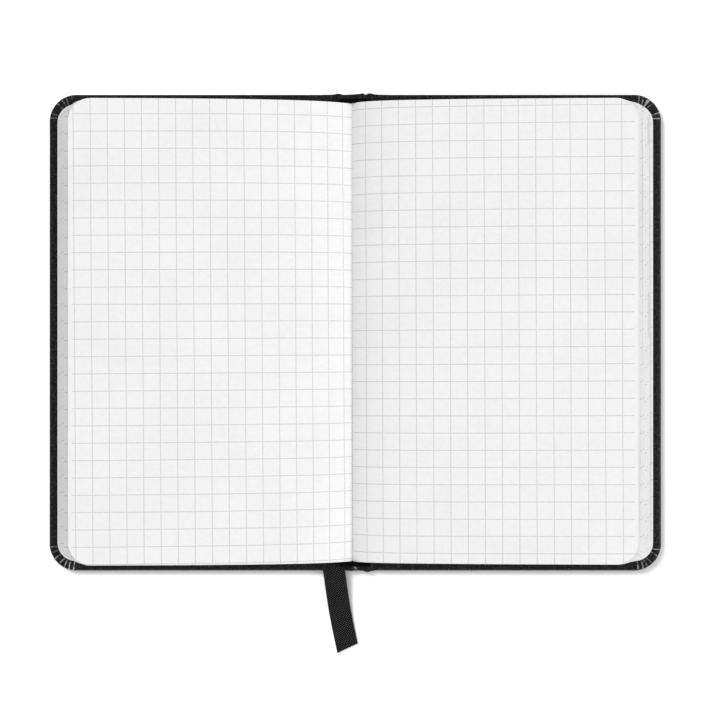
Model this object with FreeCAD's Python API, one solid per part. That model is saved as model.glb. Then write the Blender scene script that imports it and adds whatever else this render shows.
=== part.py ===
import FreeCAD, Part
import math
import os

# A pocket notebook with squared pages, lying open on a table.
# Millimetres. +X runs to the back cover, +Y to the head of the pages, +Z up.
# The origin is under the middle of the open covers, on the table.

# Covers
OPEN_WIDTH = 181.2
COVER_HEIGHT = 141.0
COVER_CORNER_R = 8.0
WRAP_T = 0.3
BOARD_T = 1.8
COVER_T = BOARD_T + 2 * WRAP_T
COVER_EDGE_R = 0.5
TURN_IN = 12.0
HINGE_X = 5.4
HINGE_GAP = 0.15
BOARD_INNER_X = 7.0

# Spine
SPINE_STRIP_WIDTH = 9.0
LINING_WIDTH = 9.4
LINING_HEIGHT = 116.0
LINING_T = 0.35
BAND_R = 0.75
BAND_LENGTH = 9.4
BAND_Z = 3.95
BAND_GAP = 0.1

# Endpapers
ENDPAPER_T = 0.12
ENDPAPER_MARGIN = 3.0
ENDPAPER_INNER_X = 5.6
FLYLEAF_LIFT = 0.06
FLYLEAF_INSET = 2.6
FLYLEAF_CORNER_R = 5.5

# Leaves, folded into sewn signatures
LEAF_WIDTH = 83.8
LEAF_HEIGHT = 135.0
LEAF_CORNER_R = 6.5
LEAF_T = 0.1
SIGNATURES = 12
FRONT_SIGNATURES = 5
SIGNATURE_PITCH = 0.8
FOLD_Z = 3.15
FIRST_RISE = 0.05
FRONT_RISE = 10.4
BACK_RISE = 8.7
FRONT_BEND = 21.7
BACK_BEND = 17.0
FRONT_FILL = 0.62
BACK_FILL = 0.82
TURNING_LEAVES = 2
TURNING_SHARE = 0.07
LEAF_STEPS = [0, 0.05, 0.12, 0.22, 0.35, 0.55, 0.78, 1]

# Bookmark ribbon: the middle of its width, from the head to its free end
RIBBON_WIDTH = 6.5
RIBBON_T = 0.25
RIBBON_CUT = 24.0
RIBBON_ROUTE = [
    (-8.6, 62.0, 2.95),
    (-9.7, 34.0, 2.95),
    (-10.2, 4.0, 2.95),
    (-9.8, -24.0, 2.95),
    (-8.9, -46.0, 2.95),
    (-7.7, -59.5, 2.95),
    (-6.3, -70.0, 2.95),
    (-5.3, -77.8, 1.46),
    (-4.0, -86.0, 0.22),
    (-2.3, -94.0, 0.15),
]
RIBBON_CLEAR = 30.0
ARC_SHARE = 0.45
STRAIGHT_ANGLE = 0.001

# Spare length of cutting shapes, and how exactly edges are told apart
SPARE = 2.0
TOLERANCE = 1e-6

FRONT = -1
BACK = 1
BLOCK_HALF = SIGNATURES * SIGNATURE_PITCH / 2
OPENING_X = -BLOCK_HALF + FRONT_SIGNATURES * SIGNATURE_PITCH
BAND_Y = LEAF_HEIGHT / 2 + BAND_GAP + BAND_R


def vec(x, y, z):
    return FreeCAD.Vector(x, y, z)


def save(name, shape):
    if not shape.isValid() or len(shape.Solids) != 1:
        raise ValueError(f"{name} is not one valid solid")
    shape.exportStep(f"parts/{name}.step")
    print(f"{name}: {shape.Volume:.1f} mm3")


def box(x0, x1, y0, y1, z0, z1):
    return Part.makeBox(x1 - x0, y1 - y0, z1 - z0, vec(x0, y0, z0))


def round_edges(solid, radius, wanted):
    return solid.makeFillet(radius, [e for e in solid.Edges if wanted(e)])


def half_plate(side, inner_x, outer_x, half_height, corner_r, z0, z1):
    """A flat plate on one side of the spine, with its two outer corners rounded."""
    near, far = sorted((side * inner_x, side * outer_x))
    plate = box(near, far, -half_height, half_height, z0, z1)

    def outer_corner(edge):
        upright = abs(edge.Vertexes[0].Z - edge.Vertexes[-1].Z) > (z1 - z0) / 2
        return upright and abs(edge.CenterOfMass.x - side * outer_x) < TOLERANCE

    return round_edges(plate, corner_r, outer_corner)


def soften(plate, radius, skip_x):
    """Round a plate's upper and lower outline, but not along the straight edge at skip_x."""

    def outline(edge):
        level = abs(edge.Vertexes[0].Z - edge.Vertexes[-1].Z) < TOLERANCE
        return level and abs(edge.CenterOfMass.x - skip_x) > TOLERANCE

    return round_edges(plate, radius, outline)


# Covers


def cover_board(side):
    return half_plate(
        side,
        BOARD_INNER_X,
        OPEN_WIDTH / 2 - WRAP_T,
        COVER_HEIGHT / 2 - WRAP_T,
        COVER_CORNER_R - WRAP_T,
        WRAP_T,
        WRAP_T + BOARD_T,
    )


def cover_wrap(side):
    """The covering: its outer face, round the board's edges, and its turn-ins on the inner face."""
    inner = HINGE_X + HINGE_GAP
    whole = half_plate(side, inner, OPEN_WIDTH / 2, COVER_HEIGHT / 2, COVER_CORNER_R, 0, COVER_T)
    whole = soften(whole, COVER_EDGE_R, side * inner)
    opening = half_plate(
        side,
        0,
        OPEN_WIDTH / 2 - TURN_IN,
        COVER_HEIGHT / 2 - TURN_IN,
        COVER_CORNER_R / 2,
        COVER_T - WRAP_T,
        COVER_T + SPARE,
    )
    joint = sorted((0, side * BOARD_INNER_X))
    groove = box(*joint, -COVER_HEIGHT, COVER_HEIGHT, WRAP_T, COVER_T + SPARE)
    return whole.cut(cover_board(side)).cut(opening).cut(groove)


def pastedown(side):
    """The endpaper glued to the board and over the turn-ins."""
    sheet = half_plate(
        side,
        ENDPAPER_INNER_X,
        OPEN_WIDTH / 2 - ENDPAPER_MARGIN,
        COVER_HEIGHT / 2 - ENDPAPER_MARGIN,
        COVER_CORNER_R - ENDPAPER_MARGIN / 2,
        WRAP_T + BOARD_T,
        COVER_T + ENDPAPER_T,
    )
    return sheet.cut(cover_wrap(side))


def flyleaf(side):
    """The free half of the endpaper, lying on the pastedown."""
    z0 = COVER_T + ENDPAPER_T + FLYLEAF_LIFT
    return half_plate(
        side,
        ENDPAPER_INNER_X,
        OPEN_WIDTH / 2 - FLYLEAF_INSET,
        LEAF_HEIGHT / 2,
        FLYLEAF_CORNER_R,
        z0,
        z0 + ENDPAPER_T,
    )


# Spine


def spine_strip():
    half = SPINE_STRIP_WIDTH / 2
    y = COVER_HEIGHT / 2 - WRAP_T
    return box(-half, half, -y, y, WRAP_T, WRAP_T + BOARD_T)


def spine_wrap():
    """The covering of the spine, turned in over the strip at the head and the tail."""
    half = HINGE_X - HINGE_GAP
    y = COVER_HEIGHT / 2
    whole = box(-half, half, -y, y, 0, COVER_T)
    middle = box(-half, half, TURN_IN - y, y - TURN_IN, WRAP_T, COVER_T)
    wrap = whole.cut(middle).cut(spine_strip())
    for side in (FRONT, BACK):
        x0, x1 = sorted((side * SPINE_STRIP_WIDTH / 2, side * HINGE_X))
        wrap = wrap.cut(box(x0, x1, -y, y, WRAP_T, COVER_T))
    return wrap


def spine_lining():
    half = LINING_WIDTH / 2
    z0 = WRAP_T + BOARD_T
    return box(-half, half, -LINING_HEIGHT / 2, LINING_HEIGHT / 2, z0, z0 + LINING_T)


def page_band(end):
    """A rolled cloth band across the backs of the signatures, at one end of the pages."""
    start = vec(-BAND_LENGTH / 2, end * BAND_Y, BAND_Z)
    return Part.makeCylinder(BAND_R, BAND_LENGTH, start, vec(1, 0, 0))


# Signatures and leaves


def fold_x(side, share):
    """Where a leaf leaves the spine. share goes from 0 at the cover to 1 at the open pages."""
    return side * BLOCK_HALF + share * (OPENING_X - side * BLOCK_HALF)


def leaf_rise(side, share):
    top = FRONT_RISE if side == FRONT else BACK_RISE
    return FIRST_RISE + share * (top - FIRST_RISE)


def leaf_bend(side):
    return FRONT_BEND if side == FRONT else BACK_BEND


def leaf_reach(side, share):
    """How far out a leaf gets: its width less what its hump takes up."""
    return LEAF_WIDTH - leaf_rise(side, share) ** 2 / (4 * leaf_bend(side))


def leaf_height(side, share, out):
    """The height of a leaf's surface at a distance out from its fold."""
    shape = 1 - math.exp(-out / leaf_bend(side))
    full = 1 - math.exp(-leaf_reach(side, share) / leaf_bend(side))
    return FOLD_Z + leaf_rise(side, share) * shape / full


def leaf_curve(side, share):
    """The line of a leaf's surface across the page, out to just past its fore-edge."""
    start = fold_x(side, share)
    reach = leaf_reach(side, share) + SPARE
    points = [
        vec(start + side * reach * t, 0, leaf_height(side, share, reach * t))
        for t in LEAF_STEPS
    ]
    curve = Part.BSplineCurve()
    curve.interpolate(points)
    return curve.toShape()


def bent_slab(side, lower, upper, reach_share):
    """Paper between two leaf surfaces, full height, with rounded corners at the fore-edge."""
    a, b = lower.Vertexes[0].Point, lower.Vertexes[-1].Point
    c, d = upper.Vertexes[-1].Point, upper.Vertexes[0].Point
    outline = Part.Wire([lower, Part.makeLine(b, c), upper, Part.makeLine(d, a)])
    slab = Part.Face(outline).extrude(vec(0, LEAF_HEIGHT, 0))
    slab.translate(vec(0, -LEAF_HEIGHT / 2, 0))
    start = min(side * a.x, side * d.x) - SPARE
    end = side * fold_x(side, reach_share) + leaf_reach(side, reach_share)
    top = FOLD_Z + FRONT_RISE + SPARE
    plan = half_plate(side, start, end, LEAF_HEIGHT / 2, LEAF_CORNER_R, 0, top)
    return slab.common(plan)


def signature(side, place, count):
    """One folded and sewn gathering of leaves: place 0 lies on the cover."""
    fill = FRONT_FILL if side == FRONT else BACK_FILL
    top = 1 if side == FRONT else 1 - TURNING_LEAVES * TURNING_SHARE
    low = top * place / count
    high = top * (place + fill) / count
    if side == FRONT and place == count - 1:
        low, high = low + top - high, top
    lower = leaf_curve(side, low)
    upper = leaf_curve(side, high)
    return bent_slab(side, lower, upper, (low + high) / 2)


def turning_leaf(order):
    """A single leaf on top of the right-hand pages, free to turn. Order 0 is the top one."""
    share = 1 - order * TURNING_SHARE
    upper = leaf_curve(BACK, share)
    lower = upper.copy()
    lower.translate(vec(0, 0, -LEAF_T))
    return bent_slab(BACK, lower, upper, share)


# Bookmark ribbon


def rounded_path(points, label):
    """Straight runs through flat points, joined by tangent arcs as large as the runs allow."""
    edges = []
    start = points[0]
    for before, corner, after in zip(points, points[1:], points[2:]):
        into = (corner - before).normalize()
        out = (after - corner).normalize()
        turn = into.getAngle(out)
        if turn < STRAIGHT_ANGLE:
            continue
        cut_back = ARC_SHARE * min((corner - before).Length, (after - corner).Length)
        radius = cut_back / math.tan(turn / 2)
        print(f"ribbon {label} radius {radius:.1f} mm")
        inward = (out - into).normalize()
        middle = corner + inward * radius * (1 / math.cos(turn / 2) - 1)
        arc = Part.Arc(corner - into * cut_back, middle, corner + out * cut_back)
        edges.append(Part.makeLine(start, arc.StartPoint))
        edges.append(arc.toShape())
        start = arc.EndPoint
    edges.append(Part.makeLine(start, points[-1]))
    return edges


def beside(edge, at, normal, offset):
    """The point level with a place on an edge, but offset to its side."""
    return edge.valueAt(at) + normal.cross(edge.tangentAt(at)).normalize() * offset


def rail(edge, normal, offset):
    """A copy of a line or an arc, offset to its side."""
    first, last = edge.FirstParameter, edge.LastParameter
    start = beside(edge, first, normal, offset)
    end = beside(edge, last, normal, offset)
    if isinstance(edge.Curve, Part.Line):
        return Part.makeLine(start, end)
    middle = beside(edge, (first + last) / 2, normal, offset)
    return Part.Arc(start, middle, end).toShape()


def band_face(edges, width, normal):
    """A flat band of even width about a path of lines and arcs."""
    one = [rail(edge, normal, width / 2) for edge in edges]
    other = [rail(edge, normal, -width / 2) for edge in edges]
    ends = []
    for edge, at in ((edges[0], edges[0].FirstParameter), (edges[-1], edges[-1].LastParameter)):
        corners = [beside(edge, at, normal, half) for half in (width / 2, -width / 2)]
        ends.append(Part.makeLine(*corners))
    return Part.Face(Part.Wire(Part.__sortEdges__(one + other + ends)))


def bookmark_ribbon():
    plan_points = [vec(x, y, 0) for x, y, z in RIBBON_ROUTE]
    side_points = [vec(0, y, z) for x, y, z in RIBBON_ROUTE]
    plan = rounded_path(plan_points, "sideways")
    side = rounded_path(side_points, "up and down")
    footprint = band_face(plan, RIBBON_WIDTH, vec(0, 0, 1)).extrude(vec(0, 0, RIBBON_CLEAR))
    section = band_face(side, RIBBON_T, vec(1, 0, 0)).extrude(vec(2 * RIBBON_CLEAR, 0, 0))
    section.translate(vec(-RIBBON_CLEAR, 0, 0))
    ribbon = footprint.common(section)
    x, y, z = RIBBON_ROUTE[-1]
    reach = RIBBON_CLEAR
    waste = box(x - reach, x + reach, y - reach, y, -reach, reach)
    waste.rotate(vec(x, y, 0), vec(0, 0, 1), RIBBON_CUT)
    ribbon = ribbon.cut(waste)
    length = sum(e.Length for e in side)
    print(f"ribbon volume {ribbon.Volume:.1f}, section times length {length * RIBBON_WIDTH * RIBBON_T:.1f}")
    return ribbon


def main():
    os.makedirs("parts", exist_ok=True)
    for side, word in ((FRONT, "front"), (BACK, "back")):
        save(f"{word}_board", cover_board(side))
        save(f"{word}_cover_wrap", cover_wrap(side))
        save(f"{word}_pastedown", pastedown(side))
        save(f"{word}_flyleaf", flyleaf(side))
    save("spine_strip", spine_strip())
    save("spine_wrap", spine_wrap())
    save("spine_lining", spine_lining())
    save("head_band", page_band(1))
    save("tail_band", page_band(-1))
    for place in range(FRONT_SIGNATURES):
        save(f"signature_{place + 1:02d}", signature(FRONT, place, FRONT_SIGNATURES))
    back_count = SIGNATURES - FRONT_SIGNATURES
    for place in range(back_count):
        save(f"signature_{SIGNATURES - place:02d}", signature(BACK, place, back_count))
    for order in range(TURNING_LEAVES):
        save(f"turning_leaf_{order + 1}", turning_leaf(order))
    save("bookmark_ribbon", bookmark_ribbon())


main()
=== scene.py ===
import math

import bpy
import numpy as np
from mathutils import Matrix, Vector


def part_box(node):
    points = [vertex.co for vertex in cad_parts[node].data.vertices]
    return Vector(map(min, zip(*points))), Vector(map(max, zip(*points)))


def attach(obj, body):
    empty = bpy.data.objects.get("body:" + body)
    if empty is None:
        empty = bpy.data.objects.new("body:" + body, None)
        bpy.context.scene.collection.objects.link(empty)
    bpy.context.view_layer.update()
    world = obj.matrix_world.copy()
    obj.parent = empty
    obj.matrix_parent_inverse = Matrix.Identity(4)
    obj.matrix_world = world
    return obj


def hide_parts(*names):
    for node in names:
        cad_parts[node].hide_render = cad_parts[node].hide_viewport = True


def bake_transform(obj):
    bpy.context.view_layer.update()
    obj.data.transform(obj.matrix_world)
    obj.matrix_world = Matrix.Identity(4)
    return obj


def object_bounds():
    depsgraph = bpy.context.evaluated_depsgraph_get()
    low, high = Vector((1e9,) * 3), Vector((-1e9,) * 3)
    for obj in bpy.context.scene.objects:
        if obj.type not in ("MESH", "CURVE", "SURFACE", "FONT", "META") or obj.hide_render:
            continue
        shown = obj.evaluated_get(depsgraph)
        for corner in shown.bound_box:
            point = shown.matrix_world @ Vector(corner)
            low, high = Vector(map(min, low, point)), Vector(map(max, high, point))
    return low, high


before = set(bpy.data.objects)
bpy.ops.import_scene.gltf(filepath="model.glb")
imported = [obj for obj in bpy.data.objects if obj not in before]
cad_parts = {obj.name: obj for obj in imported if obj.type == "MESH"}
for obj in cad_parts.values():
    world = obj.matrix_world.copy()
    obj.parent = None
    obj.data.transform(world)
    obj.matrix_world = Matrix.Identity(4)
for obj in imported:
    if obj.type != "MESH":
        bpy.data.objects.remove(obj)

CAD_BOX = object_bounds()
MM = 0.001
FRONT = -1
BACK = 1

# Covers
COVER_HALF_WIDTH = CAD_BOX[1][0]
COVER_HALF_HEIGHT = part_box("front_cover_wrap")[1][1]
COVER_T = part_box("front_cover_wrap")[1][2]
COVER_CORNER_R = 8 * MM
SPINE_HALF = 4.5 * MM
JOINT_OUTER_X = 7.2 * MM
JOINT_DIP = 0.55 * MM
JOINT_ROUNDNESS = 0.7
JOINT_PINCH = 2.2
JOINT_STEPS = 15
EDGE_STEPS = 24
SIDE_STEPS = 30
SPINE_STEPS = 37
CRUMPLE_REACH = 1.6 * MM
CORNER_STEPS = 56
LEAST_CORNER_R = 0.4 * MM
PLEAT_WIDTH = 0.3 * MM
PLEAT_HEIGHT = 0.11 * MM
PLEAT_REACH = 4.5 * MM
PLEAT_SKEW = 0.02 / MM
# How pale the pleat ridges are painted: part rubbed wear, part painted highlight
PLEAT_SCUFF_AND_HIGHLIGHT = 0.8

# The covering's turned edge: distance in from the outline (mm) and share of the cover's thickness
RIM = [
    (14.0, 0.0), (9.0, 0.0), (5.0, 0.0), (3.0, 0.0), (1.8, 0.005), (1.1, 0.02), (0.6, 0.07),
    (0.28, 0.16), (0.08, 0.3), (0.0, 0.45), (0.0, 0.58), (0.07, 0.72), (0.24, 0.85), (0.5, 0.93),
    (0.9, 0.975), (1.4, 0.995), (2.0, 1.0), (2.6, 1.0), (3.3, 1.0), (4.2, 1.0), (5.4, 1.0),
    (7.0, 1.0), (9.5, 1.0), (11.9, 1.0), (12.1, 0.87), (14.0, 0.86),
]

# Leaves
LEAF_CORNER_R = 6.5 * MM
LEAF_T = 0.1 * MM
LEAVES = 8
LEAF_ROWS = 15
PROFILE_STEPS = 500
NEAR_FOLD = 0.3
NEAR_STEPS = 14
FAR_STEPS = 12
LEAF_CORNER_STEPS = 11

# How many of the lowest leaves of a signature get a painted contact shadow along their rim
RIM_SHADOW_LEAVES = 2
FOLD_Z = 3.15 * MM
FIRST_RISE = 0.05 * MM
OPENING_X = -0.95 * MM

# How the leaves of a signature differ: the part of its room that a leaf's height varies in, the place
# of the ruling, the trim, the share of the margin that is left on inner leaves, and the ripple
ROOM_START = 0.15
ROOM_SPREAD = 0.7
RULING_SPREAD_X = 0.6 * MM
RULING_SPREAD_Y = 0.4 * MM
TRIM_SPREAD = 0.12 * MM
INNER_MARGIN = 0.2
RIPPLE = 0.12 * MM
TOP_RIPPLE = 0.15 * MM
MORE_RIPPLE = 0.1 * MM
RIPPLE_TURNS = 7
PHASE_SPREAD = 6

# Each side's pages: leaf size, the two curves that lift a leaf, the share of the full rise at the top,
# how full the space of a signature is, the signatures from the cover up, the pages' offset to the head,
# where the lowest fold is, and how far a leaf's bend reaches as it turns
SIDES = {
    FRONT: {
        "width": 83.4 * MM, "half_height": 67.3 * MM,
        "dip": 3.0 * MM, "dip_bend": 6.0 * MM, "rise": 7.8 * MM, "bend": 26.7 * MM,
        "top": 1.0, "fill": 0.62, "numbers": [1, 2, 3, 4, 5], "head": 0.1 * MM,
        "first_fold": -4.25 * MM, "unbend": 265 * MM,
    },
    BACK: {
        "width": 84.2 * MM, "half_height": 67.5 * MM,
        "dip": 3.6 * MM, "dip_bend": 4.7 * MM, "rise": 6.2 * MM, "bend": 40.0 * MM,
        "top": 0.86, "fill": 0.82, "numbers": [12, 11, 10, 9, 8, 7, 6], "head": 0.22 * MM,
        "first_fold": 3.8 * MM, "unbend": 281 * MM,
    },
}
TURNING_SHARES = {"turning_leaf_1": 1.0, "turning_leaf_2": 0.93}
TURNING_OFFSET = 1.1 * MM

# The ruling: its squares, the blank margin at the fore-edge, and each side's offset, turn and stretch
GRID = 5 * MM
MARGIN = 1.0 * MM
RULING = {FRONT: (3.05 * MM, 3.4 * MM), BACK: (0.07 * MM, 0.53 * MM)}
RULING_TURN = {FRONT: 0.0065, BACK: 0.0038}
RULING_STRETCH = {FRONT: 1.0185, BACK: 1.0056}

# Head and tail bands: thread wound round a cord, thinner at its ends
BAND_STEPS = 120
BAND_SIDES = 16
BAND_END = 0.55
BAND_TAPER = 6
WINDING_STEPS = 6
WINDING_DEPTH = 0.1

# Bookmark ribbon: the same route as its CAD solid
RIBBON_WIDTH = 6.5 * MM
RIBBON_T = 0.25 * MM
RIBBON_COLUMNS = 13
RIBBON_SELVEDGE = 0.88
RIBBON_CURL = 0.12 * MM
RIBBON_CUT = math.tan(math.radians(13))
RIBBON_CUT_REACH = 5 * MM
RIBBON_ROUTE = [
    (-0.0086, 0.0620, 0.00295),
    (-0.0097, 0.0340, 0.00295),
    (-0.0102, 0.0040, 0.00295),
    (-0.0098, -0.0240, 0.00295),
    (-0.0089, -0.0460, 0.00295),
    (-0.0077, -0.0595, 0.00295),
    (-0.0063, -0.0700, 0.00295),
    (-0.0053, -0.0778, 0.00146),
    (-0.0040, -0.0860, 0.00022),
    (-0.0023, -0.0937, 0.00015),
]


# Camera, floor and light


def add_camera():
    data = bpy.data.cameras.new("camera")
    data.lens = 75.95
    data.sensor_width = 36
    data.clip_start = 0.01
    camera = bpy.data.objects.new("camera", data)
    camera.location = (0.0014, -0.0081, 0.4516)
    bpy.context.collection.objects.link(camera)
    bpy.context.scene.camera = camera


def add_area_light(name, place, size, power):
    """A round soft light that faces the object."""
    data = bpy.data.lights.new(name, "AREA")
    data.shape = "DISK"
    data.size = size
    data.energy = power
    light = bpy.data.objects.new(name, data)
    light.location = place
    light.rotation_euler = (-Vector(place)).to_track_quat("-Z", "Y").to_euler()
    bpy.context.collection.objects.link(light)
    return light


def linked(name, pieces, state):
    """A group of objects that a light is limited to, or that it leaves out."""
    group = bpy.data.collections.new(name)
    for piece in pieces:
        group.objects.link(piece)
    for entry in group.collection_objects:
        entry.light_linking.link_state = state
    return group


def add_studio(floor, low_pieces):
    """A white room, a soft key and fill for the object, and a light from the upper left for the floor.

    The floor's light gives only the covers and the ribbon their short shadows.
    """
    bpy.context.scene.view_settings.view_transform = "Standard"
    world = bpy.data.worlds.new("studio")
    world.use_nodes = True
    background = world.node_tree.nodes["Background"]
    background.inputs["Color"].default_value = (1, 1, 1, 1)
    background.inputs["Strength"].default_value = 0.84
    bpy.context.scene.world = world
    object_only = linked("all_but_floor", [floor], "EXCLUDE")
    key = add_area_light("key", (2.2, -0.1, 1.45), 1.2, 29)
    key.light_linking.receiver_collection = object_only
    fill = add_area_light("fill", (-2.2, 0.2, 0.9), 1.2, 8)
    fill.light_linking.receiver_collection = object_only
    upper_left = add_area_light("upper_left", (-0.5, 0.5, 0.7), 0.4, 9.0)
    upper_left.light_linking.receiver_collection = linked("floor_only", [floor], "INCLUDE")
    upper_left.light_linking.blocker_collection = linked("low_pieces", low_pieces, "INCLUDE")


def add_floor():
    half = 3.0
    mesh = bpy.data.meshes.new("floor")
    corners = [(-half, -half, 0), (half, -half, 0), (half, half, 0), (-half, half, 0)]
    mesh.from_pydata(corners, [], [(0, 1, 2, 3)])
    floor = bpy.data.objects.new("floor", mesh)
    floor.location.z = -0.0001
    bpy.context.collection.objects.link(floor)
    tree, shader = new_material("floor_white", (0.93, 0.93, 0.93), 0.6)
    speckle = node(tree, "ShaderNodeTexNoise", Scale=300.0)
    set_colour(tree, shader, speckle.outputs["Fac"], (0.92, 0.92, 0.92), (0.94, 0.94, 0.94))
    mesh.materials.append(bpy.data.materials["floor_white"])
    return floor


# Materials


def new_material(name, colour, roughness, **values):
    material = bpy.data.materials.new(name)
    material.use_nodes = True
    tree = material.node_tree
    shader = tree.nodes["Principled BSDF"]
    shader.inputs["Base Color"].default_value = (*colour, 1)
    shader.inputs["Roughness"].default_value = roughness
    for key, value in values.items():
        shader.inputs[key.replace("_", " ")].default_value = value
    return tree, shader


def node(tree, kind, **values):
    made = tree.nodes.new(kind)
    for key, value in values.items():
        made.inputs[key.replace("_", " ")].default_value = value
    return made


def maths(tree, operation, first, second=0.0):
    made = tree.nodes.new("ShaderNodeMath")
    made.operation = operation
    for socket, value in zip(made.inputs, (first, second)):
        if isinstance(value, (int, float)):
            socket.default_value = value
        else:
            tree.links.new(value, socket)
    return made.outputs[0]


def ramp(tree, value, low, high, to_low=0.0, to_high=1.0):
    made = tree.nodes.new("ShaderNodeMapRange")
    made.interpolation_type = "SMOOTHSTEP"
    made.inputs["From Min"].default_value = low
    made.inputs["From Max"].default_value = high
    made.inputs["To Min"].default_value = to_low
    made.inputs["To Max"].default_value = to_high
    tree.links.new(value, made.inputs["Value"])
    return made.outputs["Result"]


def blend_colours(tree, factor, first, second):
    made = tree.nodes.new("ShaderNodeMix")
    made.data_type = "RGBA"
    tree.links.new(factor, made.inputs["Factor"])
    for socket, colour in ((made.inputs["A"], first), (made.inputs["B"], second)):
        if isinstance(colour, tuple):
            socket.default_value = (*colour, 1)
        else:
            tree.links.new(colour, socket)
    return made.outputs["Result"]


def set_colour(tree, shader, factor, first, second):
    tree.links.new(blend_colours(tree, factor, first, second), shader.inputs["Base Color"])


def set_bump(tree, shader, height, distance, strength):
    bump = node(tree, "ShaderNodeBump", Strength=strength, Distance=distance)
    tree.links.new(height, bump.inputs["Height"])
    tree.links.new(bump.outputs["Normal"], shader.inputs["Normal"])


def object_place(tree):
    return tree.nodes.new("ShaderNodeTexCoord").outputs["Object"]


def noise_at(tree, place, scale, detail=2.0, roughness=0.5):
    made = node(tree, "ShaderNodeTexNoise", Scale=scale, Detail=detail, Roughness=roughness)
    tree.links.new(place, made.inputs["Vector"])
    return made.outputs["Fac"]


def attribute(tree, name):
    made = tree.nodes.new("ShaderNodeAttribute")
    made.attribute_name = name
    return made.outputs["Fac"]


def leatherette():
    """Black coated cloth with a fine pebbled grain, dusty specks and pale marks along its creases: rubbed
    wear with a painted highlight on the pleat ridges, and a small pale spot at the tail of the spine.
    """
    tree, shader = new_material("leatherette", (0.006, 0.006, 0.006), 0.5, Specular_IOR_Level=0.12)
    place = object_place(tree)
    cells = node(tree, "ShaderNodeTexVoronoi", Scale=2300.0, Randomness=1.0)
    tree.links.new(place, cells.inputs["Vector"])
    pores = noise_at(tree, place, 5200.0, 3.0)
    grain = maths(tree, "ADD", cells.outputs["Distance"], maths(tree, "MULTIPLY", pores, 0.6))
    set_bump(tree, shader, grain, 0.00006, 0.75)
    tone = noise_at(tree, place, 900.0, 4.0, 0.7)
    mottle = ramp(tree, tone, 0.35, 0.75)
    dark = blend_colours(tree, mottle, (0.001, 0.001, 0.001), (0.012, 0.012, 0.012))
    specks = ramp(tree, noise_at(tree, place, 1700.0, 3.0, 0.85), 0.52, 0.66, 0.0, 0.15)
    dusty = blend_colours(tree, specks, dark, (0.3, 0.3, 0.3))
    # Pale marks on the pleat ridges (part rubbed wear, part painted highlight) and at the tail spot, broken
    # up by noise
    patchiness = ramp(tree, noise_at(tree, place, 1500.0, 3.0), 0.34, 0.56)
    scuff_and_highlight_mask = maths(tree, "MULTIPLY", attribute(tree, "scuff_and_highlight"), patchiness)
    set_colour(tree, shader, scuff_and_highlight_mask, dusty, (0.62, 0.62, 0.62))
    tree.links.new(ramp(tree, tone, 0.3, 0.7, 0.42, 0.62), shader.inputs["Roughness"])
    return bpy.data.materials["leatherette"]


def ruled_lines(tree, coordinate):
    """1 on a ruled line and 0 between, for a coordinate in metres."""
    cycle = maths(tree, "FRACT", maths(tree, "ADD", maths(tree, "DIVIDE", coordinate, GRID), 100.5))
    off = maths(tree, "ABSOLUTE", maths(tree, "SUBTRACT", cycle, 0.5))
    return ramp(tree, off, 0.018, 0.034, 1.0, 0.0)


def squared_paper():
    """White writing paper with fine fibres, ruled in light grey squares, with a painted contact shadow along
    the rims of the lowest leaves.
    """
    tree, shader = new_material("squared_paper", (0.85, 0.85, 0.845), 0.75, Specular_IOR_Level=0.22)
    uv = tree.nodes.new("ShaderNodeUVMap")
    uv.uv_map = "leaf"
    split = tree.nodes.new("ShaderNodeSeparateXYZ")
    tree.links.new(uv.outputs["UV"], split.inputs[0])
    inside = ramp(tree, attribute(tree, "ruled"), 0.0, 0.0002)
    across = maths(tree, "MULTIPLY", ruled_lines(tree, split.outputs["Y"]), inside)
    lines = maths(tree, "MAXIMUM", ruled_lines(tree, split.outputs["X"]), across)
    place = object_place(tree)
    ink = ramp(tree, noise_at(tree, place, 1800.0, 2.0), 0.3, 0.7, 0.75, 1.0)
    fibres = noise_at(tree, place, 700.0, 5.0, 0.7)
    cloud = noise_at(tree, place, 60.0, 2.0)
    mottle = maths(tree, "ADD", maths(tree, "MULTIPLY", fibres, 0.6), maths(tree, "MULTIPLY", cloud, 0.4))
    cloudy = ramp(tree, mottle, 0.35, 0.65)
    paper = blend_colours(tree, cloudy, (0.785, 0.785, 0.785), (0.825, 0.825, 0.825))
    ruled = blend_colours(tree, maths(tree, "MULTIPLY", lines, ink), paper, (0.56, 0.56, 0.565))
    # Painted contact shadow: a dark grey band along the rim, on the lowest leaves of each signature
    rim = ramp(tree, attribute(tree, "to_rim"), 0.0001, 0.0003, 0.5, 0.0)
    set_colour(tree, shader, rim, ruled, (0.42, 0.42, 0.42))
    set_bump(tree, shader, fibres, 0.00002, 0.35)
    return bpy.data.materials["squared_paper"]


def plain_paper():
    tree, shader = new_material("endpaper", (0.82, 0.82, 0.815), 0.8, Specular_IOR_Level=0.2)
    place = object_place(tree)
    fibres = noise_at(tree, place, 900.0, 5.0, 0.7)
    set_colour(tree, shader, ramp(tree, fibres, 0.3, 0.7), (0.78, 0.78, 0.775), (0.86, 0.86, 0.855))
    set_bump(tree, shader, fibres, 0.00002, 0.4)
    return bpy.data.materials["endpaper"]


def greyboard():
    tree, shader = new_material("greyboard", (0.36, 0.34, 0.31), 0.9, Specular_IOR_Level=0.2)
    place = object_place(tree)
    pulp = noise_at(tree, place, 600.0, 6.0, 0.75)
    set_colour(tree, shader, ramp(tree, pulp, 0.3, 0.7), (0.26, 0.24, 0.22), (0.44, 0.41, 0.37))
    set_bump(tree, shader, pulp, 0.00006, 0.6)
    return bpy.data.materials["greyboard"]


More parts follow.
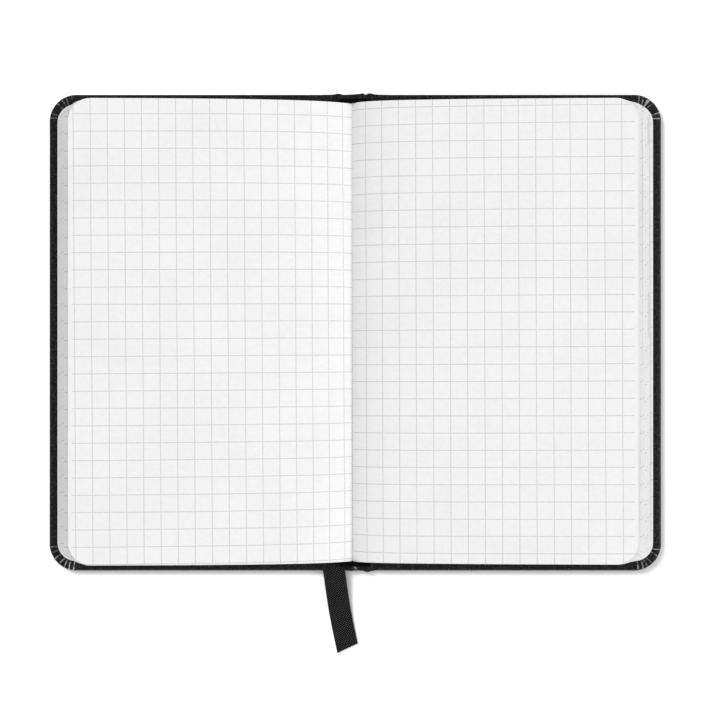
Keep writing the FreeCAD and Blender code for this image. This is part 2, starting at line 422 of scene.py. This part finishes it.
def woven(name, dark, light, pitch, roughness, uv_map=None):
    """A twill: slanting ribs mirrored about the middle, crossed by straight threads, painted lighter where
    the weave stands higher: painted highlight on the crests, painted shade in the hollows.
    """
    tree, shader = new_material(name, light, roughness, Specular_IOR_Level=0.04)
    if uv_map:
        source = tree.nodes.new("ShaderNodeUVMap")
        source.uv_map = uv_map
        place = source.outputs["UV"]
    else:
        place = object_place(tree)
    split = tree.nodes.new("ShaderNodeSeparateXYZ")
    tree.links.new(place, split.inputs[0])
    turns = 2 * math.pi / pitch
    mirrored = maths(tree, "ABSOLUTE", split.outputs["X"])
    twill = maths(tree, "ADD", split.outputs["Y"], mirrored)
    rib = maths(tree, "SINE", maths(tree, "MULTIPLY", twill, turns))
    thread = maths(tree, "SINE", maths(tree, "MULTIPLY", split.outputs["X"], turns * 1.6))
    height = maths(tree, "ADD", rib, maths(tree, "MULTIPLY", thread, 0.5))
    fuzz = noise_at(tree, object_place(tree), 4000.0, 3.0)
    total = maths(tree, "ADD", height, fuzz)
    # Colour follows the weave's height: painted highlight on the raised threads, painted shade between them
    set_colour(tree, shader, ramp(tree, total, 0.9, 2.1), dark, light)
    set_bump(tree, shader, total, 0.00005, 0.8)
    return bpy.data.materials[name]


# Meshes


def add_mesh(name, points, faces, material):
    mesh = bpy.data.meshes.new(name)
    mesh.from_pydata([tuple(p) for p in points], [], faces)
    mesh.materials.append(material)
    mesh.validate()
    mesh.shade_smooth()
    mesh.set_sharp_from_angle(angle=math.radians(50))
    made = bpy.data.objects.new(name, mesh)
    bpy.context.collection.objects.link(made)
    return made


def set_attribute(piece, name, values):
    made = piece.data.attributes.new(name, "FLOAT", "POINT")
    made.data.foreach_set("value", np.asarray(values, np.float32))


def set_uv(piece, name, coordinates):
    """Gives each corner its point's coordinates."""
    layer = piece.data.uv_layers.new(name=name)
    corners = np.zeros(len(piece.data.loops), np.int32)
    piece.data.loops.foreach_get("vertex_index", corners)
    layer.data.foreach_set("uv", np.asarray(coordinates, np.float32)[corners].ravel())


def strip_faces(first, second, flip=False):
    """Quads between two rows of point numbers."""
    made = [(a, b, d, c) for a, b, c, d in zip(first, first[1:], second, second[1:])]
    return [face[::-1] for face in made] if flip else made


# Covers


def joint_dip(x):
    """How far the covering sinks into the groove between the spine and the board."""
    t = (abs(x) - SPINE_HALF) / (JOINT_OUTER_X - SPINE_HALF)
    return JOINT_DIP * math.sin(math.pi * t) ** JOINT_ROUNDNESS if 0 < t < 1 else 0.0


# How far the covering stands out at the head and the tail: x and distance (mm)
HEAD_OUTLINE = [
    (-8.0, 0.0), (-6.3, 0.12), (-5.3, 0.42), (-4.5, 0.3), (-3.6, 0.0), (-1.0, -0.12), (1.6, -0.35),
    (2.3, -0.5), (3.0, -0.1), (3.7, 0.42), (4.5, 0.5), (5.6, 0.2), (8.0, 0.0),
]
TAIL_OUTLINE = [
    (-8.0, 0.0), (-3.0, 0.0), (-1.4, -0.15), (0.4, 0.05), (1.6, -0.1), (2.8, 0.3), (3.7, 0.5),
    (4.6, 0.25), (6.0, 0.0),
]


def crumple(x, y):
    """How far the covering stands out at the head or tail where it folds at the joints."""
    outline = np.array(HEAD_OUTLINE if y > 0 else TAIL_OUTLINE) * MM
    inset = COVER_HALF_HEIGHT - abs(y)
    return float(np.interp(x, outline[:, 0], outline[:, 1])) * math.exp(-((inset / CRUMPLE_REACH) ** 2))


def rim_point(x, y, level):
    dip = joint_dip(x)
    return (x, y + math.copysign(crumple(x, y), y), dip + level * (COVER_T - JOINT_PINCH * dip))


def straight_stations(end):
    """Distances from the spine along the head or tail edge, close together over the joint."""
    near = list(np.linspace(SPINE_HALF, JOINT_OUTER_X, JOINT_STEPS))
    return near + list(np.linspace(JOINT_OUTER_X, end, EDGE_STEPS))[1:]


# Gathers at each corner: angle from the fore-edge and strength
PLEATS = {
    (FRONT, -1): [(0.1, 0.7), (0.34, 0.5), (0.62, 1.0), (0.85, 0.9), (1.1, 1.0), (1.3, 1.3), (1.47, 1.5)],
    (FRONT, 1): [(0.12, 0.5), (0.3, 0.35), (0.75, 0.5), (0.98, 0.3), (1.2, 0.35), (1.4, 0.2)],
    (BACK, -1): [(0.22, 0.7), (0.5, 0.6), (0.82, 0.4), (1.05, 0.55), (1.24, 0.8), (1.42, 1.0)],
    (BACK, 1): [(0.1, 0.9), (0.33, 1.0), (0.78, 0.5), (0.95, 1.2), (1.02, 1.1), (1.22, 0.9), (1.38, 0.6)],
}


def pleat(side, end, angle, inset):
    """Height and paleness of the gathered leatherette at a corner, from the angle round it; the paleness is
    part rubbed wear and part painted highlight on the ridges.
    """
    height, pale = 0.0, 0.0
    for at, strength in PLEATS[side, end]:
        skew = PLEAT_SKEW * math.sin(9 * at) * inset
        off = (angle - at - skew) * COVER_CORNER_R / PLEAT_WIDTH
        height += PLEAT_HEIGHT * strength * math.exp(-off * off)
        pale += PLEAT_SCUFF_AND_HIGHLIGHT * strength * math.exp(-4 * off * off)
    reach = math.exp(-((inset / PLEAT_REACH) ** 4))
    return height * reach, min(1.0, pale) * reach


def cover_ring(side, inset, level):
    """One outline of a cover, from the spine at the tail round to the spine at the head."""
    radius = max(COVER_CORNER_R - inset, LEAST_CORNER_R)
    end_x = COVER_HALF_WIDTH - inset - radius
    end_y = COVER_HALF_HEIGHT - inset - radius
    edge_y = COVER_HALF_HEIGHT - inset
    points, scuffs_and_highlights = [], []
    stations = straight_stations(end_x)

    def add(x, y, extra=0.0, scuff_and_highlight=0.0):
        px, py, pz = rim_point(side * x, y, level)
        points.append((px, py, pz + extra))
        scuffs_and_highlights.append(scuff_and_highlight)

    def corner(end):
        angles = np.linspace(0, math.pi / 2, CORNER_STEPS + 1)[1:-1]
        for a in angles if end < 0 else angles[::-1]:
            from_edge = math.pi / 2 - a
            height, scuff_and_highlight = pleat(side, end, from_edge, inset) if level > 0.1 else (0.0, 0.0)
            bulge = height * (1 - min(1.0, level))
            x = end_x + (radius + bulge) * math.sin(a)
            y = end * (end_y + (radius + bulge) * math.cos(a))
            add(x, y, height * min(1.0, level), scuff_and_highlight)

    for x in stations:
        add(x, -edge_y)
    corner(-1)
    for y in np.linspace(-end_y, end_y, SIDE_STEPS):
        add(end_x + radius, y)
    corner(1)
    for x in reversed(stations):
        add(x, edge_y)
    return points, scuffs_and_highlights, len(stations)


def cover_skin(side, word, material):
    """The leatherette of one cover, whole from the spine's edge to the fore-edge, with its turn-ins."""
    points, scuffs_and_highlights, faces, rows = [], [], [], []
    for inset, level in RIM:
        ring, ring_scuffs_and_highlights, reach = cover_ring(side, inset * MM, level)
        rows.append(list(range(len(points), len(points) + len(ring))))
        points += ring
        scuffs_and_highlights += ring_scuffs_and_highlights
    for first, second in zip(rows, rows[1:]):
        faces += strip_faces(first, second, flip=side > 0)
    for row, flip in ((rows[0], side > 0), (rows[-1], side < 0)):
        tail, head = row[:reach], row[-reach:][::-1]
        faces += strip_faces(tail, head, flip=not flip)
        middle = row[reach - 1:len(row) - reach + 1]
        faces.append(tuple(middle if flip else middle[::-1]))
    skin = add_mesh(f"{word}_cover_skin", points, faces, material)
    set_attribute(skin, "scuff_and_highlight", scuffs_and_highlights)
    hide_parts(f"{word}_cover_wrap")
    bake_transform(skin)
    return skin


def tail_fleck(x, y):
    """Paleness painted on a small spot at the tail of the spine."""
    off_x = x / (0.35 * MM)
    off_y = (y + COVER_HALF_HEIGHT - 1.1 * MM) / (0.5 * MM)
    return math.exp(-off_x * off_x - off_y * off_y)


def spine_skin(material):
    """The leatherette of the spine, turned in at the head and tail."""
    stations = np.linspace(-SPINE_HALF, SPINE_HALF, SPINE_STEPS)
    points, faces = [], []
    rows = {-1: [], 1: []}
    for end in rows:
        for inset, level in RIM:
            y = end * (COVER_HALF_HEIGHT - inset * MM)
            rows[end].append(list(range(len(points), len(points) + len(stations))))
            points += [rim_point(x, y, level) for x in stations]
        for first, second in zip(rows[end], rows[end][1:]):
            faces += strip_faces(first, second, flip=end < 0)
    faces += strip_faces(rows[-1][0], rows[1][0], flip=False)
    faces += strip_faces(rows[-1][-1], rows[1][-1], flip=True)
    skin = add_mesh("spine_skin", points, faces, material)
    set_attribute(skin, "scuff_and_highlight", [tail_fleck(x, y) for x, y, z in points])
    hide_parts("spine_wrap")
    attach(skin, "spine")
    return skin


# Leaves


def leaf_profile(side, share, fold, distance):
    """x, z and slope of a leaf at a distance along its paper from the fold."""
    data = SIDES[side]
    start = data["first_fold"] + fold * (OPENING_X - data["first_fold"])
    out = np.linspace(0, data["width"], PROFILE_STEPS)
    dipped = data["dip"] * (1 - np.exp(-out / data["dip_bend"]))
    risen = data["rise"] * (1 - np.exp(-out / data["bend"]))
    z = FOLD_Z + FIRST_RISE * out / data["width"] + share * (dipped + risen)
    along = np.concatenate([[0], np.cumsum(np.hypot(np.diff(out), np.diff(z)))])
    at = np.interp(distance, along, out)
    slope = np.arctan(np.interp(at, out, np.gradient(z, out)))
    return start + side * at, np.interp(distance, along, z), slope


def leaf_columns(side):
    """Distances from the fold, close together near it and round the corner, and half heights there."""
    flat = SIDES[side]["width"] - LEAF_CORNER_R
    near = np.linspace(0, NEAR_FOLD, NEAR_STEPS)[:-1] * flat
    far = np.linspace(NEAR_FOLD, 1, FAR_STEPS)[:-1] * flat
    turn = np.linspace(0, math.pi / 2, LEAF_CORNER_STEPS)
    distance = np.concatenate([near, far, flat + LEAF_CORNER_R * np.sin(turn)])
    lost = np.concatenate([np.zeros(len(near) + len(far)), LEAF_CORNER_R * (1 - np.cos(turn))])
    return distance, SIDES[side]["half_height"] - lost


def leaf_points(side, share, fold, shift, ripple, phase):
    """The upper layer of one leaf and then its lower layer, fold to fore-edge in rows of points."""
    distance, half = leaf_columns(side)
    x, z, slope = leaf_profile(side, share, fold, distance)
    v = np.linspace(-1, 1, LEAF_ROWS)
    y = half[:, None] * v[None, :] + shift + SIDES[side]["head"]
    weight = (distance / SIDES[side]["width"]) ** 3
    lift = ripple * weight[:, None] * np.sin(RIPPLE_TURNS * v[None, :] + phase)
    normal_x, normal_z = -side * np.sin(slope), np.cos(slope)
    layers = []
    for above in (LEAF_T / 2, -LEAF_T / 2):
        px = np.repeat((x + normal_x * above)[:, None], LEAF_ROWS, 1)
        pz = (z + normal_z * above)[:, None] + lift
        layers.append(np.stack([px, y, pz], -1).reshape(-1, 3))
    return np.concatenate(layers), y


def leaf_faces(side, columns):
    """Both layers of a leaf and the rim between them."""
    size = columns * LEAF_ROWS
    number = np.arange(size).reshape(columns, LEAF_ROWS)
    faces = []
    for first, second in zip(number, number[1:]):
        faces += strip_faces(list(first), list(second), flip=side > 0)
        faces += strip_faces(list(first + size), list(second + size), flip=side < 0)
    rim = np.concatenate([number[:, 0], number[-1, 1:], number[-2::-1, -1], number[0, -2:0:-1]])
    rim = list(rim) + [rim[0]]
    return faces + strip_faces(rim, [r + size for r in rim], flip=side < 0)


def leaf_marks(side, distance, half, y):
    """Ruling coordinates, and distances to the fore-edge and to the rim round the corners, per point."""
    turn = RULING_TURN[side] * side
    across = distance[:, None] * RULING_STRETCH[side] + turn * y
    ruling = np.stack([across, y - turn * distance[:, None]], -1).reshape(-1, 2)
    to_fore_edge = np.repeat((SIDES[side]["width"] - distance)[:, None], LEAF_ROWS, 1).ravel()
    v = np.linspace(-1, 1, LEAF_ROWS)
    from_centre = np.hypot(
        np.maximum(distance - SIDES[side]["width"] + LEAF_CORNER_R, 0)[:, None],
        np.maximum(abs(half[:, None] * v[None, :]) - SIDES[side]["half_height"] + LEAF_CORNER_R, 0),
    ).ravel()
    to_rim = np.where(to_fore_edge < LEAF_CORNER_R, LEAF_CORNER_R - from_centre, LEAF_CORNER_R)
    return np.tile(ruling, (2, 1)), np.tile(to_fore_edge, 2), np.tile(to_rim, 2)


def add_leaves(name, side, leaves, material):
    """One piece of several leaves, each a share, fold, shift, ripple, phase, ruling offset and margin."""
    points, faces, rulings, edges, rims = [], [], [], [], []
    count = 0
    for order, (share, fold, shift, ripple, phase, offset, margin) in enumerate(leaves):
        distance, half = leaf_columns(side)
        sheet, y = leaf_points(side, share, fold, shift, ripple, phase)
        ruling, to_fore_edge, to_rim = leaf_marks(side, distance, half, y)
        sheet_faces = leaf_faces(side, len(distance))
        faces += [tuple(int(i) + count for i in face) for face in sheet_faces]
        points.append(sheet)
        rulings.append(ruling - np.array(offset))
        edges.append(to_fore_edge - margin)
        # Only the lowest leaves of each signature get the painted rim shadow
        painted_rim_shadow = order < RIM_SHADOW_LEAVES < len(leaves)
        rims.append(np.where(painted_rim_shadow, to_rim, LEAF_CORNER_R))
        count += len(sheet)
    piece = add_mesh(name, np.concatenate(points), faces, material)
    set_uv(piece, "leaf", np.concatenate(rulings))
    set_attribute(piece, "ruled", np.concatenate(edges))
    set_attribute(piece, "to_rim", np.concatenate(rims))
    return piece


def signature_leaves(side, place, chance):
    """The eight leaves of one signature, a little uneven in height and trim."""
    data = SIDES[side]
    count = len(data["numbers"])
    open_page = side == FRONT and place == count - 1
    low = data["top"] * place / count
    high = data["top"] * (place + data["fill"]) / count
    fold = (place + 0.5 * data["fill"]) / count
    if open_page:
        low, high, fold = low + 1 - high, 1.0, 1.0
    leaves = []
    for i in range(LEAVES):
        share = low + (high - low) * (i + ROOM_START + ROOM_SPREAD * chance.random()) / LEAVES
        ruling_x, ruling_y = RULING[side]
        offset = (ruling_x + chance.normal() * RULING_SPREAD_X, ruling_y + chance.normal() * RULING_SPREAD_Y)
        shift = chance.normal() * TRIM_SPREAD
        margin = INNER_MARGIN * MARGIN * chance.random()
        ripple = chance.random() * RIPPLE
        leaves.append((share, fold, shift, ripple, PHASE_SPREAD * chance.random(), offset, margin))
    if open_page:
        leaves[-1] = (1.0, fold, 0.0, TOP_RIPPLE, 0.6, RULING[FRONT], MARGIN)
    return leaves


def add_signatures(material):
    chance = np.random.default_rng(7)
    for side, data in SIDES.items():
        for place, number in enumerate(data["numbers"]):
            name = f"signature_{number:02d}"
            leaves = signature_leaves(side, place, chance)
            piece = add_leaves(f"{name}_leaves", side, leaves, material)
            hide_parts(name)
            unbend(piece)


def unbend(piece):
    """Bakes the piece's placement into its points."""
    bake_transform(piece)


def add_turning_leaves(material):
    for order, (name, share) in enumerate(TURNING_SHARES.items()):
        offset = (RULING[BACK][0], RULING[BACK][1] + order * TURNING_OFFSET)
        leaf = (share, share, 0.0, TOP_RIPPLE + order * MORE_RIPPLE, 1.2 + order, offset, MARGIN)
        piece = add_leaves(f"{name}_sheet", BACK, [leaf], material)
        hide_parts(name)
        unbend(piece)


# Bands and ribbon


def page_band(end, material):
    """A band of thread wound round a cord, at one end of the pages."""
    low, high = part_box("head_band" if end > 0 else "tail_band")
    centre_y = (low[1] + high[1]) / 2
    centre_z = (low[2] + high[2]) / 2
    radius = (high[2] - low[2]) / 2
    points, faces, rows = [], [], []
    for i in range(BAND_STEPS + 1):
        x = low[0] + (high[0] - low[0]) * i / BAND_STEPS
        taper = min(1.0, BAND_END + BAND_TAPER * min(i, BAND_STEPS - i) / BAND_STEPS)
        winding = abs(math.sin(math.pi * i / WINDING_STEPS))
        thick = radius * taper * (1 - WINDING_DEPTH + WINDING_DEPTH * winding)
        rows.append(list(range(len(points), len(points) + BAND_SIDES)))
        for k in range(BAND_SIDES):
            a = 2 * math.pi * k / BAND_SIDES
            points.append((x, centre_y + thick * math.cos(a), centre_z + thick * math.sin(a)))
    for first, second in zip(rows, rows[1:]):
        faces += strip_faces(first + first[:1], second + second[:1])
    faces += [tuple(rows[0]), tuple(reversed(rows[-1]))]
    word = "head" if end > 0 else "tail"
    band = add_mesh(f"{word}_band_thread", points, faces, material)
    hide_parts(f"{word}_band")
    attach(band, "spine")


def route_line(route):
    """Points along the smooth line that the route's points control."""
    curve = bpy.data.curves.new("ribbon_route", "CURVE")
    curve.dimensions = "3D"
    curve.resolution_u = 14
    spline = curve.splines.new("NURBS")
    spline.points.add(len(route) - 1)
    for point, place in zip(spline.points, route):
        point.co = (*place, 1)
    spline.order_u = 3
    spline.use_endpoint_u = True
    holder = bpy.data.objects.new("ribbon_route", curve)
    bpy.context.collection.objects.link(holder)
    mesh = bpy.data.meshes.new_from_object(holder)
    line = [v.co.copy() for v in mesh.vertices]
    bpy.data.objects.remove(holder)
    bpy.data.meshes.remove(mesh)
    return line


def ribbon_rows(line, length):
    """Pairs of upper and lower points across the ribbon, row by row, and the weave's coordinates."""
    pairs, weave, along = [], [], 0.0
    for i, place in enumerate(line):
        ahead = (line[min(i + 1, len(line) - 1)] - line[max(i - 1, 0)]).normalized()
        if i:
            along += (place - line[i - 1]).length
        across = ahead.cross(Vector((0, 0, 1))).normalized()
        normal = across.cross(ahead)
        near_end = max(0.0, 1 - (length - along) / RIBBON_CUT_REACH)
        for t in np.linspace(-1, 1, RIBBON_COLUMNS):
            aside = t * RIBBON_WIDTH / 2
            beyond = near_end * aside * RIBBON_CUT
            thick = RIBBON_T * (0.5 if abs(t) < RIBBON_SELVEDGE else 0.62)
            middle = place + across * aside + ahead * beyond + normal * (RIBBON_CURL * t * t)
            pairs.append((middle + normal * thick, middle - normal * thick))
            weave.append((aside, along + beyond))
    return pairs, weave


def ribbon_faces(rows):
    size = rows * RIBBON_COLUMNS
    number = np.arange(size).reshape(rows, RIBBON_COLUMNS)
    faces = []
    for first, second in zip(number, number[1:]):
        faces += strip_faces(list(first), list(second))
        faces += strip_faces(list(first + size), list(second + size), flip=True)
    rim = list(np.concatenate([number[:, 0], number[-1, 1:], number[-2::-1, -1], number[0, -2::-1]]))
    faces += strip_faces(rim, [r + size for r in rim])
    return [tuple(int(i) for i in face) for face in faces]


def add_ribbon(material):
    line = route_line(RIBBON_ROUTE)
    length = sum((b - a).length for a, b in zip(line, line[1:]))
    pairs, weave = ribbon_rows(line, length)
    points = [upper for upper, lower in pairs] + [lower for upper, lower in pairs]
    ribbon = add_mesh("ribbon_weave", points, ribbon_faces(len(line)), material)
    set_uv(ribbon, "ribbon", weave + weave)
    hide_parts("bookmark_ribbon")
    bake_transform(ribbon)
    return ribbon


# Carried-over CAD pieces


def dress(material, *names):
    for name in names:
        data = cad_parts[name].data
        data.materials.clear()
        data.materials.append(material)


def main():
    add_camera()
    floor = add_floor()
    cover = leatherette()
    skins = [cover_skin(FRONT, "front", cover), cover_skin(BACK, "back", cover), spine_skin(cover)]
    paper = squared_paper()
    add_signatures(paper)
    add_turning_leaves(paper)
    thread = woven("band_thread", (0.0005, 0.0005, 0.0005), (0.012, 0.012, 0.012), 0.35 * MM, 0.7)
    page_band(1, thread)
    page_band(-1, thread)
    # The grey is a painted highlight on the ribbon's raised threads
    black, grey = (0.0002, 0.0002, 0.0002), (0.13, 0.13, 0.13)
    weave = woven("ribbon_weave", black, grey, 0.72 * MM, 0.75, uv_map="ribbon")
    ribbon = add_ribbon(weave)
    add_studio(floor, skins + [ribbon])
    endpaper = plain_paper()
    dress(endpaper, "front_pastedown", "back_pastedown", "front_flyleaf", "back_flyleaf")
    dress(greyboard(), "front_board", "back_board", "spine_strip")
    dress(woven("mull", (0.5, 0.49, 0.45), (0.74, 0.73, 0.69), 0.8 * MM, 0.85), "spine_lining")


main()
